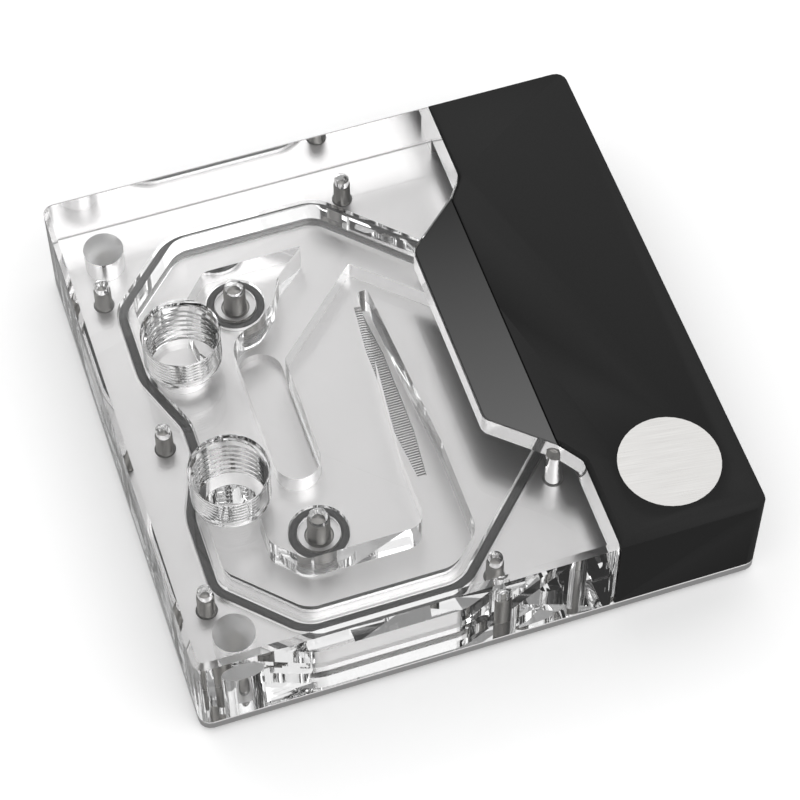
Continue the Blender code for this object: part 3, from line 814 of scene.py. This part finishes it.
@dataclass
class ClearTop:
    """The acrylic top with everything that is milled, drilled and tapped into it.

    The heights of channels, grooves and holes are measured from the plate's top.
    """

    layout: Layout
    finish: bpy.types.Material
    frosted: bpy.types.Material
    port: Port = Port()
    corner: float = 2.0 * MM
    chamfer: float = 0.87 * MM
    channel_height: float = 6.2 * MM
    channel_steps: int = 10
    groove_width: float = 2.0 * MM
    groove_height: float = 1.6 * MM
    ring_groove: Span = (3.55 * MM, 5.1 * MM)
    ring_groove_height: float = 1.45 * MM
    ring_groove_sides: int = 64
    cover_floor: float = 7.07 * MM
    cover_gap: float = 0.3 * MM
    tongue_gap: float = 0.25 * MM
    cover_round: float = 2 * MM
    skirt: float = 2.4 * MM
    screw_hole_height: float = 9.6 * MM
    pillar_hole_height: float = 9.8 * MM
    step_hole: float = 1.53 * MM
    step_hole_height: float = 12.6 * MM
    stud_pocket: float = 3.45 * MM
    stud_pocket_height: float = 7.87 * MM
    stud_pocket_sides: int = 56
    tight: float = 0.003 * MM  # how far a tapped hole sits inside its screw
    drill_slope: float = radians(59)
    drill_overlap: float = 0.2 * MM

    def far_channel(self) -> Outline:
        """Return the milled channel of the far port: round its island, down to the slot."""
        return Outline(in_mm(
            (20.4, -9.0, 2.1), (20.4, 15.8, 1.0), (-1.9, 38.1, 4.5), (-26.7, 38.1, 4.5),
            (-37.3, 27.5, 3.0), (-37.0, 9.2, 4.6), (-27.3, 9.2, 4.1), (-28.9, 19.0, 1.5),
            (-28.9, 24.6, 2.5), (-24.2, 29.8, 2.5), (-6.6, 29.8, 0.15), (-12.3, 24.9, 3.0),
            (-14.6, 20.2, 3.0), (-18.2, 16.9, 2.0), (-23.9, 15.0, 4.6), (-23.9, -14.9, 3.88),
            (-16.1, -14.9, 3.88), (-16.1, 8.4, 0.3), (0.0, 23.7, 0.3), (16.1, 8.4, 0.3),
            (16.1, -9.0, 2.1),
        ), self.channel_steps)

    def near_channel(self) -> Outline:
        """Return the milled channel of the near port, with its taper over the jet."""
        return Outline(in_mm(
            (3.45, -32.7, 3.0), (3.45, -16.0, 6.0), (1.35, 17.5, 0.5), (-0.5, 17.5, 0.5),
            (-3.8, -16.0, 6.0), (-3.8, -29.5, 3.0), (-24.2, -29.5, 2.5), (-28.9, -24.6, 2.5),
            (-28.9, -19.0, 1.5), (-27.3, -9.2, 4.1), (-37.0, -9.2, 4.6), (-37.3, -27.5, 3.0),
            (-26.7, -38.1, 4.5), (-1.9, -38.1, 4.5),
        ), self.channel_steps)

    def tongue_line(self) -> Outline:
        """Return the line of the tongue's pocket, run out past the block's right side."""
        gap = self.tongue_gap
        return Outline.mirrored((
            (BEYOND, BEYOND, 0.0),
            (self.layout.cover_x - gap, BEYOND, 0.0),
            (self.layout.cover_x - gap, 30.5 * MM, self.cover_round),
            (19.5 * MM - gap, 26.4 * MM, self.cover_round),
            (9.8 * MM - gap, 17.8 * MM, self.cover_round),
        ))

    def skirt_line(self) -> Outline:
        """Return the line of the room for the cover's skirt, round three sides."""
        low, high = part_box("base_plate")
        start = self.layout.cover_x - self.cover_gap
        skirt = self.skirt + self.cover_gap
        right = high.x - skirt
        return Outline((
            (BEYOND, -BEYOND, 0.0), (BEYOND, BEYOND, 0.0), (start, BEYOND, 0.0),
            (start, high.y - skirt, 0.0), (right, high.y - skirt, self.cover_round),
            (right, low.y + skirt, self.cover_round), (start, low.y + skirt, 0.0),
            (start, -BEYOND, 0.0),
        ))

    def body(self) -> bpy.types.Mesh:
        """Return the block before it is cut: full outline, chamfered round the top."""
        low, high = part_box("base_plate")
        bottom = self.layout.plate_top + self.layout.seat
        line = Outline.box(high.x - low.x, high.y - low.y, self.corner)
        return line.prism(bottom, self.layout.top, self.chamfer)

    def cutters(self) -> list[bpy.types.Mesh]:
        """Return every solid that is cut from the block, largest first."""
        base = self.layout.plate_top
        below = base - MARGIN
        above = self.layout.top + MARGIN
        start = self.layout.cover_x - self.cover_gap
        tongue = self.tongue_line().prism(self.layout.tongue_floor - self.layout.seat, above)
        area = Outline.box(BEYOND, 2 * BEYOND, centre=(start + BEYOND / 2, 0.0))
        cover = area.prism(base + self.cover_floor, above + MARGIN)
        skirt = self.skirt_line().prism(below, above)
        seal = self.layout.seal_line()
        roof = base + self.groove_height
        ring = seal.offset(self.groove_width / 2).prism(below, roof)
        core = seal.offset(-self.groove_width / 2).prism(below - MARGIN, roof + MARGIN)
        solids = [tongue, cover, skirt, cut(ring, [core])]
        solids += [line.prism(below, base + self.channel_height)
                   for line in (self.far_channel(), self.near_channel())]
        return solids + self.round_cutters()

    def round_cutters(self) -> list[bpy.types.Mesh]:
        """Return the solids of the holes: ports, screws, small seals and studs."""
        layout = self.layout
        base = layout.plate_top
        below = base - MARGIN
        solids = [self.port.cutter(side.twin(layout.port), layout.top, below)
                  for side in Side]
        for node, place in layout.screw_places().items():
            if node.startswith("cover"):
                solids.append(self.drilled(place, self.step_hole, self.step_hole_height,
                                           DRILL_SIDES))
            else:
                solids += self.tapped(node, place, layout.screw_thread,
                                      base + self.screw_hole_height)
        inner, outer = self.ring_groove
        roof = base + self.ring_groove_height
        groove = [(outer, roof), (outer, below), (inner, below), (inner, roof), (outer, roof)]
        for side in Side:
            place = side.twin(layout.pillar)
            solids += self.tapped(side.of("pillar_screw"), place, layout.stud_thread,
                                  base + self.pillar_hole_height)
            solids.append(turned(groove, place, self.ring_groove_sides))
        for x in (layout.stud_half, -layout.stud_half):
            for side in Side:
                solids.append(self.drilled(side.twin((x, layout.stud_half)), self.stud_pocket,
                                           self.stud_pocket_height, self.stud_pocket_sides))
        return solids

    def drilled(self, place: Place, radius: float, height: float, sides: int) -> bpy.types.Mesh:
        """Return the solid of a plain blind hole.

        Args:
            place: the hole's axis.
            radius: its radius.
            height: how far it goes up from the plate.
            sides: segments round it.

        Returns:
            The mesh.
        """
        top = self.layout.plate_top + height
        below = self.layout.plate_top - MARGIN
        profile = [(0.0, top), (radius, top), (radius, below), (0.0, below)]
        return turned(profile, place, sides)

    def tapped(self, node: str, place: Place, thread: Thread,
               top: float) -> list[bpy.types.Mesh]:
        """Return the solids of a tapped hole, its thread tight on the screw's.

        Args:
            node: the screw's CAD node.
            place: the hole's axis.
            thread: the screw's thread.
            top: height where the drilled hole's cone starts.

        Returns:
            The drilled end and the thread.
        """
        low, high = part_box(node)
        bore = thread.diameter / 2 - 0.5 * thread.pitch
        start = high.z - self.drill_overlap
        cone = bore / tan(self.drill_slope)
        profile = [(0.0, top + cone), (bore, top), (bore, start), (0.0, start)]
        return [turned(profile, place, DRILL_SIDES),
                thread.shrunk(self.tight).shank(place, low.z, high.z)]

    def build(self) -> None:
        """Build the top, with frosted roofs in the stud pockets."""
        mesh = cut(self.body(), self.cutters())
        piece = finish_piece("acrylic_top", mesh, self.finish, "top_block")
        piece.data.materials.append(self.frosted)
        roof = self.layout.plate_top + self.stud_pocket_height
        for face in piece.data.polygons:
            if abs(face.center.z - roof) < MERGE and face.normal.z < 0.0:
                face.material_index = 1


@dataclass
class Cover:
    """The black cover, with a tongue that is let only part of the way into the acrylic."""

    layout: Layout
    finish: bpy.types.Material
    wall_gap: float = 0.05 * MM
    lift: float = 1 * MM

    def build(self) -> None:
        """Take the cover's own form and mill the underside of its tongue."""
        low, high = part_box("cover")
        width = 2 * (self.layout.cover_x - self.wall_gap - low.x)
        area = Outline.box(width, 2 * high.y, centre=(low.x, 0.0))
        tool = area.prism(low.z + self.lift, self.layout.tongue_floor)
        mesh = cut(cad_mesh("cover"), [tool])
        finish_piece("milled_cover", mesh, self.finish, "cover")


@dataclass
class JetInsert:
    """The insert over the fins, fitted so closely in its seat that no joint shows."""

    finish: bpy.types.Material
    shoulder: Place = (16.1 * MM, 8.4 * MM)
    tip: float = 23.7 * MM
    joint: float = 0.008 * MM
    jet_x: float = -0.45 * MM
    jet_half: Sequence[Place] = ((1.6 * MM, 8.0 * MM), (0.75 * MM, 17.1 * MM))

    def build(self) -> None:
        """Build the insert with its pointed jet."""
        low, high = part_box("jet_insert")
        x, y = self.shoulder
        seat = Outline.mirrored(((x, y, 0.0), (0.0, self.tip, 0.0), (-x, y, 0.0)))
        right = [(self.jet_x + half, place, 0.0) for half, place in self.jet_half]
        left = [(self.jet_x - half, place, 0.0) for half, place in reversed(self.jet_half)]
        plate = seat.offset(-self.joint).prism(low.z, high.z)
        jet = Outline.mirrored(right + left).prism(low.z - MARGIN, high.z + MARGIN)
        mesh = cut(plate, [jet])
        finish_piece("fitted_jet_insert", mesh, self.finish, "jet_insert",
                     smooth=False)


@dataclass
class Seals:
    """The rubber seals on the plate."""

    layout: Layout
    finish: bpy.types.Material
    ring_diameter: float = 10.0 * MM
    ring_cord: float = 1.35 * MM
    ring_sides: int = 72

    def build(self) -> None:
        """Build the main seal and the two small rings."""
        base = self.layout.plate_top + self.layout.seat
        radius = self.layout.seal_cord / 2
        seal = self.layout.seal_line().tube(radius, base + radius)
        finish_piece("chamber_seal", seal, self.finish, "main_seal")
        cord = self.ring_cord / 2
        middle = self.ring_diameter / 2 - cord
        angles = [2 * pi * step / CORD_SIDES for step in range(CORD_SIDES + 1)]
        section = [(middle + cord * cos(angle), base + cord + cord * sin(angle))
                   for angle in angles]
        for side in Side:
            ring = turned(section, side.twin(self.layout.pillar), self.ring_sides)
            finish_piece(side.of("pillar_ring"), ring, self.finish,
                         side.of("pillar_seal"))


@dataclass
class Fasteners:
    """Threaded screws and studs that stand up inside the acrylic."""

    layout: Layout
    finish: bpy.types.Material
    head_depth: float = 0.25 * MM
    head_gap: float = 0.02 * MM
    trim_width: int = 4

    def threaded(self, node: str, place: Place, thread: Thread) -> None:
        """Build one screw or stud in place of a node: its own head with a threaded shank.

        Args:
            node: the CAD node.
            place: its axis.
            thread: its thread.
        """
        low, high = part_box(node)
        neck = self.layout.plate_top - self.head_depth
        width = self.trim_width * thread.diameter
        area = Outline.box(width, width, centre=place)
        above = area.prism(neck, high.z + MARGIN)
        below = area.prism(low.z - MARGIN, neck - self.head_gap)
        form = bmesh.new()
        form.from_mesh(cut(cad_mesh(node), [above]))
        form.from_mesh(cut(thread.shank(place, low.z, high.z), [below]))
        finish_piece(node + "_threaded", as_mesh(form, node), self.finish, node)

    def build(self) -> None:
        """Build every screw and stud that shows through the acrylic."""
        layout = self.layout
        for node, place in layout.screw_places().items():
            self.threaded(node, place, layout.screw_thread)
        corner = (-layout.stud_half, layout.stud_half)
        for side in Side:
            self.threaded(side.of("pillar_screw"), side.twin(layout.pillar),
                          layout.stud_thread)
            self.threaded(side.of("mount_stud_left"), side.twin(corner), layout.stud_thread)


@dataclass(frozen=True)
class Lamp:
    """A square soft lamp that faces the block, with its power in watts."""

    name: str
    place: Point
    power: float
    size: float = 0.8

    def build(self) -> None:
        """Add the lamp to the scene."""
        data = bpy.data.lights.new(self.name, 'AREA')
        data.shape = 'SQUARE'
        data.size = self.size
        data.energy = self.power
        lamp = bpy.data.objects.new(self.name, data)
        lamp.location = self.place
        lamp.rotation_euler = (-Vector(self.place)).to_track_quat('-Z', 'Y').to_euler()
        bpy.context.scene.collection.objects.link(lamp)


@dataclass
class Studio:
    """Pale floor, soft light and the camera at the photograph's angle."""

    camera_place: Point = (-79.51 * MM, -241.95 * MM, 393.14 * MM)
    camera_aim: Point = (0.17428, 0.52128, -0.83540)
    lens: float = 123.35
    sensor: float = 36.0
    nearest: float = 0.01
    bounces: int = 24
    gloss_bounces: int = 12
    white: str = "FFFFFF"
    world_strength: float = 0.95
    horizon_strength: float = 0.30
    horizon_height: float = 0.5
    background: float = 1.0
    floor_half: float = 3.0
    floor_glow: float = 0.03
    floor_drop: float = 0.02 * MM
    lamps: Sequence[Lamp] = (Lamp("key", (0.25, -0.55, 0.92), 2.4),
                             Lamp("fill", (-0.25, 0.90, 0.72), 1.6))

    def build(self) -> None:
        """Build the studio."""
        scene = bpy.context.scene
        scene.view_settings.view_transform = 'Standard'
        scene.cycles.max_bounces = self.bounces
        scene.cycles.transmission_bounces = self.bounces
        scene.cycles.glossy_bounces = self.gloss_bounces
        self.add_camera()
        self.add_world()
        self.add_floor()
        for lamp in self.lamps:
            lamp.build()

    def add_camera(self) -> None:
        """Add the camera."""
        data = bpy.data.cameras.new("photo_camera")
        data.lens = self.lens
        data.sensor_width = self.sensor
        data.clip_start = self.nearest
        camera = bpy.data.objects.new("photo_camera", data)
        camera.location = self.camera_place
        camera.rotation_euler = Vector(self.camera_aim).to_track_quat('-Z', 'Y').to_euler()
        bpy.context.scene.collection.objects.link(camera)
        bpy.context.scene.camera = camera

    def add_world(self) -> None:
        """Add a white surround, dimmer below the horizon and full white to the camera."""
        nodes =Nodes(bpy.data.worlds.new("white_surround"), "Background")
        nodes.set(Color=linear(self.white))
        place = nodes.add("ShaderNodeTexCoord")
        parts = nodes.add("ShaderNodeSeparateXYZ", None,
                          {"Vector": place.outputs["Generated"]})
        rise = nodes.add("ShaderNodeMapRange",
                         {"interpolation_type": 'SMOOTHSTEP',
                          "From Max": self.horizon_height,
                          "To Min": self.horizon_strength,
                          "To Max": self.world_strength},
                         {"Value": parts.outputs["Z"]})
        rays = nodes.add("ShaderNodeLightPath")
        level = nodes.add("ShaderNodeMapRange", {"To Max": self.background},
                          {"To Min": rise.outputs["Result"],
                           "Value": rays.outputs["Is Camera Ray"]})
        nodes.link(level.outputs["Result"], "Strength")
        bpy.context.scene.world = nodes.owner

    def add_floor(self) -> None:
        """Add the white floor, which shows only to the camera and only from above.

        It carries the object's shadow. Its light on the object comes from the world.
        """
        form = bmesh.new()
        bmesh.ops.create_grid(form, x_segments=1, y_segments=1, size=self.floor_half)
        floor = add_object("studio_floor", as_mesh(form, "studio_floor"))
        floor.location.z = -self.floor_drop
        white = linear(self.white)
        nodes = Nodes.material("White_Studio_Floor")
        nodes.set(Base_Color=white, Roughness=0.9, Specular_IOR_Level=0.0,
                  Emission_Color=white, Emission_Strength=self.floor_glow)
        rays = nodes.add("ShaderNodeLightPath")
        side = nodes.add("ShaderNodeNewGeometry")
        seen = nodes.add("ShaderNodeMath", {"operation": 'SUBTRACT', "use_clamp": True},
                         {0: rays.outputs["Is Camera Ray"], 1: side.outputs["Backfacing"]})
        clear = nodes.add("ShaderNodeBsdfTransparent")
        whole = nodes.add("ShaderNodeMixShader", None, {
            0: seen.outputs["Value"], 1: clear.outputs["BSDF"],
            2: nodes.shader.outputs["BSDF"]})
        output = nodes.tree.nodes["Material Output"]
        nodes.tree.links.new(whole.outputs["Shader"], output.inputs["Surface"])
        floor.data.materials.append(nodes.owner)


def main() -> None:
    """Build the looks, piece by piece."""
    logging.basicConfig(level=logging.INFO, format="%(message)s")
    layout = Layout()
    acrylic = CastAcrylic().build()
    nickel = SatinNickel().build()
    steel = ScrewSteel().build()
    rubber = SealRubber().build()
    black = BlastedBlack().build()
    # The tongue's finish carries a painted reflection, a fade along its length.
    tongue = FadeDyedBlack().build()
    disc = BrushedAluminium().build()
    finishes = {"base_plate": nickel, "tongue_plate": tongue, "badge_disc": disc}
    for node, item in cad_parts.items():
        item.data.materials.clear()
        item.data.materials.append(finishes.get(node, steel))
    ClearTop(layout, acrylic, MilledAcrylic().build()).build()
    Cover(layout, black).build()
    JetInsert(nickel).build()
    Seals(layout, rubber).build()
    Fasteners(layout, steel).build()
    Studio().build()


if __name__ == "__main__":
    main()
